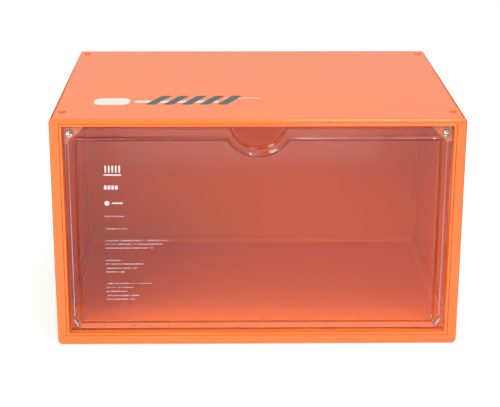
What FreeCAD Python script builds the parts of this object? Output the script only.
import FreeCAD, Part
import os
import re
import Sketcher

# A stackable shoe display box: a moulded case of five interlocking panels, an inner frame set in its
# mouth, and a clear door that drops forward on two stub pins and is held shut by magnets.
# Frame: millimetres, +Z up, +Y to the back, origin on the ground under the middle of the case.

# ---------------------------------------------------------------- driving sizes
SIZES = {
    "width": 360.0,             # case, side to side
    "depth": 280.0,             # case, front to back
    "height": 210.0,            # case, ground to the top panel's face
    "edge_round": 3.0,          # rounding of the front, rear and upright edges
    "top_corner": 3.5,          # rounding of the top panel's side edges
    "bottom_corner": 4.5,       # rounding of the bottom panel's side edges
    "top_sheet": 4.0,           # top panel
    "floor_sheet": 3.0,         # bottom panel under the shoes
    "rim_height": 9.0,          # bottom panel's rim, up to the seam
    "rim_width": 8.0,           # the rim at the sides and the front
    "floor_corner": 6.0,        # corners of the floor inside the rim
    "floor_cove": 2.5,          # hollow rounding where the floor meets the rim
    "side_wall": 4.0,           # side panels
    "band": 8.5,                # front band of a side panel, seen from the front
    "band_thick": 4.0,          # the same band, front to back
    "back_sheet": 3.0,          # back panel
    "back_inset": 11.0,         # back panel's face, in from the rear edges
    "rib_thick": 2.5,           # ribs that hold the back panel's upright edges
    "rib_reach": 3.6,
    "tongue": 2.4,              # tongues that plug into the bottom and top panels
    "tongue_low": 5.0,
    "tongue_high": 1.8,
    "tongue_end": 10.0,         # a tongue stops this short of the corner
    "slip": 0.1,                # fit of a tongue, sheet or frame in its seat
    "stud_radius": 3.0,         # stacking studs on the top
    "stud_rise": 1.2,
    "stud_dome": 0.6,
    "stud_side": 9.0,           # stud centres, in from the sides
    "stud_front": 27.5,         # and from the front
    "stud_rear": 15.0,          # and from the rear
    "socket_play": 0.3,         # a socket is this much larger than its stud
    "lip": 2.5,                 # wall of the door frame
    "frame_depth": 20.0,
    "lip_break": 0.6,           # broken front edges of the door frame
    "frame_ear": 2.0,           # ears that catch behind the side bands
    "door_side_gap": 1.6,
    "door_top_gap": 1.4,
    "door_low_gap": 1.0,
    "door_setback": 0.3,        # raised field, behind the front of the case
    "door_sheet": 2.2,
    "door_wall": 2.4,
    "door_depth": 12.0,         # flange, front to back
    "door_round": 2.5,          # lower front edge, which turns inside the frame
    "door_corner": 2.0,         # upper corners of the door
    "field_rise": 2.4,
    "field_margin": 8.0,
    "field_bevel": 2.4,
    "notch_radius": 24.3,       # finger notch
    "notch_rise": 6.3,          # its centre, above the door's top edge
    "notch_margin": 4.8,        # notch to the raised field
    "catch_wide": 13.0,         # corner blocks that hold the magnets
    "catch_tall": 11.5,
    "catch_depth": 6.0,
    "catch_gap": 0.3,
    "catch_clear": 1.5,
    "hinge_wide": 5.0,          # corner blocks at the stub pins
    "hinge_tall": 6.5,
    "pin_radius": 2.0,
    "pin_reach": 3.6,
    "pin_play": 0.05,
    "pin_rise": 3.4,            # hinge axis, above the door's lower edge
    "pin_back": 2.3,            # and behind the door's margin
    "magnet_radius": 3.2,
    "magnet_thick": 3.0,
    "magnet_in": 4.3,           # magnet centre, in from the door's side edge
    "magnet_down": 6.1,         # and down from its top edge
}

# ---------------------------------------------------------------- places worked out from the sizes
PLACES = {
    "half": "width / 2",
    "front": "-depth / 2",
    "rear": "depth / 2",
    "ceiling": "height - top_sheet",
    "wall_in": "half - side_wall",
    "back_face": "rear - back_inset",
    "back_in": "back_face - back_sheet",
    "rear_rim_in": "back_in - rib_thick",
    "mouth": "half - band",
    "frame_out": "mouth - slip",
    "frame_in": "frame_out - lip",
    "frame_low": "rim_height",
    "seat_low": "rim_height - tongue_low - slip",
    "frame_sill": "frame_low + lip",
    "frame_high": "ceiling - slip",
    "frame_head": "frame_high - lip",
    "frame_rear": "front + frame_depth",
    "ear_front": "front + band_thick + slip",
    "rail_front": "front + rim_width / 2 - tongue / 2 - slip",
    "door_half": "frame_in - door_side_gap",
    "door_low": "frame_sill + door_low_gap",
    "door_high": "frame_head - door_top_gap",
    "margin_face": "front + door_setback + field_rise",
    "field_face": "front + door_setback",
    "door_rear": "margin_face + door_depth",
    "tray_half": "door_half - door_wall",
    "tray_low": "door_low + door_wall",
    "tray_high": "door_high - door_wall",
    "field_half": "door_half - field_margin",
    "field_low": "door_low + field_margin",
    "field_high": "door_high - field_margin",
    "notch_up": "door_high + notch_rise",
    "catch_in": "tray_half - catch_wide",
    "catch_low": "tray_high - catch_tall",
    "catch_rear": "margin_face + catch_depth",
    "block_front": "catch_rear + catch_gap",
    "pin_y": "margin_face + pin_back",
    "pin_z": "door_low + pin_rise",
    "magnet_x": "door_half - magnet_in",
    "magnet_z": "door_high - magnet_down",
}

document = FreeCAD.newDocument("shoe_display_box")
sheet = document.addObject("Spreadsheet::Sheet", "Sizes")
for row, (alias, size) in enumerate(SIZES.items(), start=1):
    sheet.set(f"A{row}", alias)
    sheet.set(f"B{row}", str(size))
    sheet.setAlias(f"B{row}", alias)
document.recompute()


# ---------------------------------------------------------------- expressions
def link(text):
    """Turn the size and place names in a formula into references to the sheet's cells."""
    def swap(match):
        word = match.group(0)
        if word in PLACES:
            return "(" + link(PLACES[word]) + ")"
        return "Sizes." + word
    return re.sub(r"[a-z]\w*", swap, text)


def value(text):
    """The present value of a formula, in millimetres."""
    return float(sheet.evalExpression(link(text)))


def bind(item, **formulas):
    """Drive properties of an object with formulas."""
    for name, text in formulas.items():
        item.setExpression(name, link(text))


# ---------------------------------------------------------------- bodies, sketches and features
def new_body(label):
    body = document.addObject("PartDesign::Body", label)
    body.Label = label
    return body


def new_sketch(body, plane, offset="0"):
    """An empty sketch on one of the body's own origin planes, moved along the plane's normal."""
    sketch = body.newObject("Sketcher::SketchObject", body.Name + "_sketch")
    planes = {item.Role: item for item in body.Origin.OriginFeatures}
    sketch.AttachmentSupport = [(planes[plane], "")]
    sketch.MapMode = "FlatFace"
    sketch.setExpression("AttachmentOffset.Base.z", link(offset))
    return sketch


def hold(sketch, geometry, point, across, up):
    """Fix one point of a sketch at a place given by two formulas."""
    for kind, text in (("DistanceX", across), ("DistanceY", up)):
        constraint = Sketcher.Constraint(kind, -1, 1, geometry, point, value(text))
        number = sketch.addConstraint(constraint)
        sketch.setExpression(f"Constraints[{number}]", link(text))


def draw_outline(sketch, corners):
    """A closed outline of straight lines through corners, each a pair of formulas."""
    first = sketch.GeometryCount
    points = [FreeCAD.Vector(value(across), value(up), 0) for across, up in corners]
    for start, end in zip(points, points[1:] + points[:1]):
        sketch.addGeometry(Part.LineSegment(start, end))
    for index, (across, up) in enumerate(corners):
        before = first + (index - 1) % len(corners)
        sketch.addConstraint(Sketcher.Constraint("Coincident", before, 2, first + index, 1))
        hold(sketch, first + index, 1, across, up)


def draw_box(sketch, left, right, low, high):
    draw_outline(sketch, [(left, low), (right, low), (right, high), (left, high)])


def draw_circle(sketch, across, up, radius):
    centre = FreeCAD.Vector(value(across), value(up), 0)
    number = sketch.addGeometry(Part.Circle(centre, FreeCAD.Vector(0, 0, 1), value(radius)))
    hold(sketch, number, 3, across, up)
    held = sketch.addConstraint(Sketcher.Constraint("Radius", number, value(radius)))
    sketch.setExpression(f"Constraints[{held}]", link(radius))


def pad(body, sketch, length, reverse=False):
    """Grow a sketch along its plane's normal, or against it."""
    feature = body.newObject("PartDesign::Pad", body.Name + "_pad")
    feature.Profile = sketch
    feature.Reversed = reverse
    bind(feature, Length=length)
    document.recompute()


def pocket(body, sketch, length, reverse=False):
    """Cut a sketch against its plane's normal, or along it, and make sure that it cuts something."""
    before = body.Shape.Volume
    feature = body.newObject("PartDesign::Pocket", body.Name + "_pocket")
    feature.Profile = sketch
    feature.Reversed = reverse
    bind(feature, Length=length)
    document.recompute()
    if body.Shape.Volume > before - 1e-3:
        raise RuntimeError(f"a pocket of {body.Label} cuts nothing")


def break_edges(body, kind, size, wanted):
    """Round or chamfer the edges that a test picks, as a PartDesign Fillet or Chamfer."""
    solid = body.Tip
    names = [f"Edge{n}" for n, edge in enumerate(solid.Shape.Edges, start=1) if wanted(edge.BoundBox)]
    feature = body.newObject("PartDesign::" + kind, f"{body.Name}_{kind.lower()}")
    feature.Base = (solid, names)
    bind(feature, **{"Radius" if kind == "Fillet" else "Size": size})
    document.recompute()


def near(first, second):
    return abs(first - second) < 1e-4


def runs_along_y(box):
    return box.YLength > 1 and box.XLength < 1e-3 and box.ZLength < 1e-3


def upright(box):
    return box.ZLength > 1 and box.XLength < 1e-3 and box.YLength < 1e-3


def on_front_or_rear(box):
    return box.YLength < 1e-3 and near(abs(box.YMin), value("rear"))


# ---------------------------------------------------------------- Part primitives and booleans
def block(name, left, right, near_y, far_y, low, high):
    box = document.addObject("Part::Box", name)
    bind(box, Length=f"({right}) - ({left})", Width=f"({far_y}) - ({near_y})", Height=f"({high}) - ({low})")
    bind(box, **{"Placement.Base.x": left, "Placement.Base.y": near_y, "Placement.Base.z": low})
    return box


TURNS = {
    "X": FreeCAD.Rotation(FreeCAD.Vector(0, 1, 0), 90),
    "Y": FreeCAD.Rotation(FreeCAD.Vector(1, 0, 0), -90),
}


def lay_along(item, axis, start):
    """Lay a cylinder or cone along an axis, with its first end at start."""
    item.Placement = FreeCAD.Placement(FreeCAD.Vector(), TURNS[axis])
    for letter, text in zip("xyz", start):
        item.setExpression("Placement.Base." + letter, link(text))


def rod(name, axis, start, radius, length):
    cylinder = document.addObject("Part::Cylinder", name)
    bind(cylinder, Radius=radius, Height=length)
    lay_along(cylinder, axis, start)
    return cylinder


def taper(name, start, first_radius, last_radius, length):
    cone = document.addObject("Part::Cone", name)
    bind(cone, Radius1=first_radius, Radius2=last_radius, Height=length)
    lay_along(cone, "Y", start)
    return cone


def span(side, inner, outer):
    """Left and right limits of something between two distances from the middle, on one side."""
    if side == "1":
        return inner, outer
    return f"-({outer})", f"-({inner})"


def fuse(name, items):
    joined = document.addObject("Part::MultiFuse", name)
    joined.Shapes = items
    joined.Refine = True
    return joined


def cut(name, base, tool):
    difference = document.addObject("Part::Cut", name)
    difference.Base = base
    difference.Tool = tool
    difference.Refine = True
    return difference


# ---------------------------------------------------------------- top panel
# A flat sheet with rounded edges, four stacking studs, and grooves underneath for the side
# panels' tongues and the back panel.
def make_top_panel():
    body = new_body("top_panel")
    slab = new_sketch(body, "XY_Plane", "ceiling")
    draw_box(slab, "-half", "half", "front", "rear")
    pad(body, slab, "top_sheet")
    break_edges(body, "Fillet", "top_corner",
                lambda box: runs_along_y(box) and near(box.ZMax, value("height")))
    break_edges(body, "Fillet", "edge_round",
                lambda box: on_front_or_rear(box) and box.ZMax > value("ceiling") + 1e-3)

    grooves = new_sketch(body, "XY_Plane", "ceiling")
    for side in ("-1", "1"):
        inner = f"{side} * (wall_in - slip)"
        outer = f"{side} * (wall_in + tongue + slip)"
        draw_box(grooves, inner, outer, "front + tongue_end - slip", "back_in - rib_thick")
    draw_box(grooves, "-wall_in", "wall_in", "back_in - slip", "back_face + slip")
    pocket(body, grooves, "tongue_high + slip", reverse=True)

    studs = new_sketch(body, "XY_Plane", "height")
    for side in ("-1", "1"):
        for along in ("front + stud_front", "rear - stud_rear"):
            draw_circle(studs, f"{side} * (half - stud_side)", along, "stud_radius")
    pad(body, studs, "stud_rise")
    break_edges(body, "Fillet", "stud_dome",
                lambda box: near(box.ZMin, value("height + stud_rise")) and box.ZLength < 1e-3)
    return body


# ---------------------------------------------------------------- bottom panel
# A tray: floor, raised rim with channels for the panels above it, and a socket under each corner
# for the studs of the box below.
def make_bottom_panel():
    body = new_body("bottom_panel")
    slab = new_sketch(body, "XY_Plane")
    draw_box(slab, "-half", "half", "front", "rear")
    pad(body, slab, "rim_height")
    break_edges(body, "Fillet", "bottom_corner",
                lambda box: runs_along_y(box) and near(box.ZMin, 0))
    break_edges(body, "Fillet", "edge_round",
                lambda box: on_front_or_rear(box) and box.ZMin < value("rim_height") - 1e-3)

    floor = new_sketch(body, "XY_Plane", "rim_height")
    draw_box(floor, "-(half - rim_width)", "half - rim_width", "front + rim_width", "rear_rim_in")
    pocket(body, floor, "rim_height - floor_sheet")
    break_edges(body, "Fillet", "floor_corner",
                lambda box: upright(box) and near(box.ZMin, value("floor_sheet")))

    break_edges(body, "Fillet", "floor_cove",
                lambda box: box.ZLength < 1e-3 and near(box.ZMin, value("floor_sheet")))

    channels = new_sketch(body, "XY_Plane", "rim_height")
    for side in ("-1", "1"):
        inner = f"{side} * (wall_in - slip)"
        outer = f"{side} * (wall_in + tongue + slip)"
        draw_box(channels, inner, outer, "front + tongue_end - slip", "back_in - rib_thick")
    draw_box(channels, "-(mouth - tongue_end)", "mouth - tongue_end",
             "rail_front", "rail_front + tongue + 2 * slip")
    draw_box(channels, "-wall_in", "wall_in", "back_in - slip", "back_face + slip")
    pocket(body, channels, "tongue_low + slip")

    sockets = new_sketch(body, "XY_Plane")
    for side in ("-1", "1"):
        for along in ("front + stud_front", "rear - stud_rear"):
            draw_circle(sockets, f"{side} * (half - stud_side)", along, "stud_radius + socket_play")
    pocket(body, sockets, "stud_rise + socket_play", reverse=True)
    return body


# ---------------------------------------------------------------- side panels
# A wall with a front band turned inwards, two ribs that hold the back panel's edge, and a tongue
# along its top and bottom.
def make_side_panel(label, side):
    body = new_body(label)
    wall = new_sketch(body, "XY_Plane", "rim_height")
    corners = [
        ("half", "front"),
        ("half", "rear"),
        ("wall_in", "rear"),
        ("wall_in", "back_face + slip + rib_thick"),
        ("wall_in - rib_reach", "back_face + slip + rib_thick"),
        ("wall_in - rib_reach", "back_face + slip"),
        ("wall_in", "back_face + slip"),
        ("wall_in", "back_in - slip"),
        ("wall_in - rib_reach", "back_in - slip"),
        ("wall_in - rib_reach", "back_in - slip - rib_thick"),
        ("wall_in", "back_in - slip - rib_thick"),
        ("wall_in", "front + band_thick"),
        ("mouth", "front + band_thick"),
        ("mouth", "front"),
    ]
    draw_outline(wall, [(f"{side} * ({across})", along) for across, along in corners])
    pad(body, wall, "ceiling - rim_height")
    break_edges(body, "Fillet", "edge_round",
                lambda box: upright(box) and near(abs(box.XMin), value("half")))

    for level, length, downwards in (("rim_height", "tongue_low", True), ("ceiling", "tongue_high", False)):
        tongue = new_sketch(body, "XY_Plane", level)
        draw_box(tongue, f"{side} * wall_in", f"{side} * (wall_in + tongue)",
                 "front + tongue_end", "back_in - rib_thick - slip")
        pad(body, tongue, length, reverse=downwards)
    return body


# ---------------------------------------------------------------- back panel
# A plain sheet that stands in the grooves of the four panels round it.
def make_back_panel():
    body = new_body("back_panel")
    plan = new_sketch(body, "XY_Plane", "seat_low")
    draw_box(plan, "-(wall_in - slip)", "wall_in - slip", "back_in", "back_face")
    pad(body, plan, "ceiling + tongue_high - seat_low")
    return body


# ---------------------------------------------------------------- door frame
# A deep ring in the case's mouth. Its upper corner blocks hold the fixed magnets and stop the door,
# its ears catch behind the side bands, and its lower corners take the door's stub pins.
def make_door_frame():
    body = new_body("door_frame")
    ring = new_sketch(body, "XZ_Plane", "-(frame_rear)")
    draw_box(ring, "-frame_out", "frame_out", "frame_low", "frame_high")
    draw_box(ring, "-frame_in", "frame_in", "frame_sill", "frame_head")
    pad(body, ring, "frame_depth")
    break_edges(body, "Chamfer", "lip_break",
                lambda box: box.YLength < 1e-3 and near(box.YMin, value("front")))

    ears = new_sketch(body, "XZ_Plane", "-(ear_front + frame_ear)")
    for side in ("-1", "1"):
        draw_box(ears, f"{side} * (frame_out - lip / 2)", f"{side} * (wall_in - slip)",
                 "frame_low", "frame_high")
    pad(body, ears, "frame_ear")

    rail = new_sketch(body, "XY_Plane", "frame_low")
    draw_box(rail, "-(mouth - tongue_end - slip)", "mouth - tongue_end - slip",
             "rail_front + slip", "rail_front + slip + tongue")
    pad(body, rail, "tongue_low", reverse=True)

    blocks = new_sketch(body, "XZ_Plane", "-(block_front + catch_depth)")
    for side in ("-1", "1"):
        corners = [
            ("frame_in + lip / 2", "frame_head + lip / 2"),
            ("catch_in", "frame_head + lip / 2"),
            ("catch_in", "tray_high"),
            ("tray_half", "catch_low"),
            ("frame_in + lip / 2", "catch_low"),
        ]
        draw_outline(blocks, [(f"{side} * ({across})", up) for across, up in corners])
    pad(body, blocks, "catch_depth")

    seats = new_sketch(body, "XZ_Plane", "-(block_front)")
    for side in ("-1", "1"):
        draw_circle(seats, f"{side} * magnet_x", "magnet_z", "magnet_radius")
    pocket(body, seats, "magnet_thick")

    hinge = new_sketch(body, "YZ_Plane", "half")
    draw_circle(hinge, "pin_y", "pin_z", "pin_radius + pin_play")
    pocket(body, hinge, "width")
    return body


# ---------------------------------------------------------------- door
# A shallow clear tray, open at the back: a bevelled field stands proud of its margin, a finger
# notch is cut in its top edge, and its corners are thickened for the magnets and the stub pins.
def bevelled_plate(name, inset, near_y, far_y):
    """The raised field's outline, drawn in by an inset: it narrows towards the front by the bevel,
    and bends round the finger notch."""
    half = f"(field_half - {inset})"
    low = f"(field_low + {inset})"
    high = f"(field_high - {inset})"
    bend = f"(notch_radius + notch_margin + {inset})"
    plate = document.addObject("Part::Wedge", name + "_plate")
    bind(plate, Xmin=f"field_bevel - {half}", Xmax=f"{half} - field_bevel",
         Zmin=f"{low} + field_bevel", Zmax=f"{high} - field_bevel",
         X2min=f"-{half}", X2max=half, Z2min=low, Z2max=high, Ymin=near_y, Ymax=far_y)
    cone = taper(name + "_bend", ("0", near_y, "notch_up"), f"{bend} + field_bevel", bend,
                 f"({far_y}) - ({near_y})")
    return cut(name, plate, cone)


def draw_corner_block(sketch, side, edge, outward, wide, tall):
    """A three-cornered block in a corner of the tray, from its side wall to its top or bottom wall."""
    buried = "tray_half + door_wall / 2"
    draw_outline(sketch, [
        (f"{side} * ({buried})", f"{edge} + {outward} * door_wall / 2"),
        (f"{side} * (tray_half - {wide})", f"{edge} + {outward} * door_wall / 2"),
        (f"{side} * (tray_half - {wide})", edge),
        (f"{side} * tray_half", f"{edge} - {outward} * {tall}"),
        (f"{side} * ({buried})", f"{edge} - {outward} * {tall}"),
    ])


def make_door():
    outer = new_body("door_block")
    face = new_sketch(outer, "XZ_Plane", "-(door_rear)")
    draw_box(face, "-door_half", "door_half", "door_low", "door_high")
    pad(outer, face, "door_depth")
    break_edges(outer, "Fillet", "door_corner",
                lambda box: runs_along_y(box) and near(box.ZMax, value("door_high")))
    break_edges(outer, "Fillet", "door_round",
                lambda box: box.XLength > 9 and near(box.YMax, value("margin_face"))
                and near(box.ZMax, value("door_low")))

    corners = new_body("door_corners")
    for side in ("-1", "1"):
        for edge, outward, wide, tall in (("tray_high", "1", "catch_wide", "catch_tall"),
                                          ("tray_low", "-1", "hinge_wide", "hinge_tall")):
            triangle = new_sketch(corners, "XZ_Plane", "-(door_rear)")
            draw_corner_block(triangle, side, edge, outward, wide, tall)
            pad(corners, triangle, "door_depth")

    inside = block("door_inside", "-tray_half", "tray_half", "margin_face + door_sheet", "door_rear",
                   "tray_low", "tray_high")
    boss = rod("notch_boss", "Y", ("0", "margin_face", "notch_up"), "notch_radius + door_wall", "door_depth")
    field = bevelled_plate("door_field", "0", "field_face", "margin_face")
    field_back = bevelled_plate("door_field_back", "0.4 * door_sheet",
                                "field_face + door_sheet", "margin_face + door_sheet")
    notch = rod("door_notch", "Y", ("0", "field_face", "notch_up"), "notch_radius", "door_rear - field_face")

    hollows = [cut("door_hollow", inside, fuse("door_kept", [boss, corners])), field_back, notch]
    pins = []
    for name, side in (("left", "-1"), ("right", "1")):
        room = span(side, "catch_in - catch_clear", "door_half")
        hollows.append(block(name + "_catch_room", *room, "catch_rear", "door_rear",
                             "catch_low - catch_clear", "door_high"))
        hollows.append(rod(name + "_magnet_seat", "Y",
                           (f"{side} * magnet_x", "catch_rear - magnet_thick", "magnet_z"),
                           "magnet_radius", "magnet_thick"))
        pin_start, pin_end = span(side, "door_half - door_wall / 2", "door_half + pin_reach")
        pins.append(rod(name + "_pin", "X", (pin_start, "pin_y", "pin_z"), "pin_radius",
                        f"({pin_end}) - ({pin_start})"))
    tray = cut("door_tray", fuse("door_solid", [outer, field]), fuse("door_hollows", hollows))
    door = fuse("door", [tray] + pins)
    door.Label = "door"
    return door


# ---------------------------------------------------------------- magnets
# Nickel-plated discs: one pair in the door's upper corners, one pair facing them in the frame.
def make_magnet(label, side, face):
    magnet = rod(label, "Y", (f"{side} * magnet_x", face, "magnet_z"), "magnet_radius", "magnet_thick")
    magnet.Label = label
    return magnet


nodes = [
    make_top_panel(),
    make_bottom_panel(),
    make_side_panel("left_panel", "-1"),
    make_side_panel("right_panel", "1"),
    make_back_panel(),
    make_door_frame(),
    make_door(),
    make_magnet("door_magnet_left", "-1", "catch_rear - magnet_thick"),
    make_magnet("door_magnet_right", "1", "catch_rear - magnet_thick"),
    make_magnet("frame_magnet_left", "-1", "block_front"),
    make_magnet("frame_magnet_right", "1", "block_front"),
]
document.recompute()

# ---------------------------------------------------------------- checks and files
for item in document.Objects:
    if "Invalid" in item.State or "Error" in item.State:
        raise RuntimeError(f"{item.Label} failed: {item.State}")
for node in nodes:
    if node.Shape.isNull() or not node.Shape.isValid():
        raise RuntimeError(f"{node.Label} has no valid shape")

os.makedirs("parts", exist_ok=True)
for node in nodes:
    node.Shape.exportStep(f"parts/{node.Label}.step")
    box = node.Shape.BoundBox
    print(f"{node.Label}: {len(node.Shape.Solids)} solid, {node.Shape.Volume / 1000:.1f} cm3, "
          f"x {box.XMin:.1f} {box.XMax:.1f}, y {box.YMin:.1f} {box.YMax:.1f}, z {box.ZMin:.1f} {box.ZMax:.1f}")
print(f"hinge axis: y {value('pin_y'):.3f}, z {value('pin_z'):.3f}")
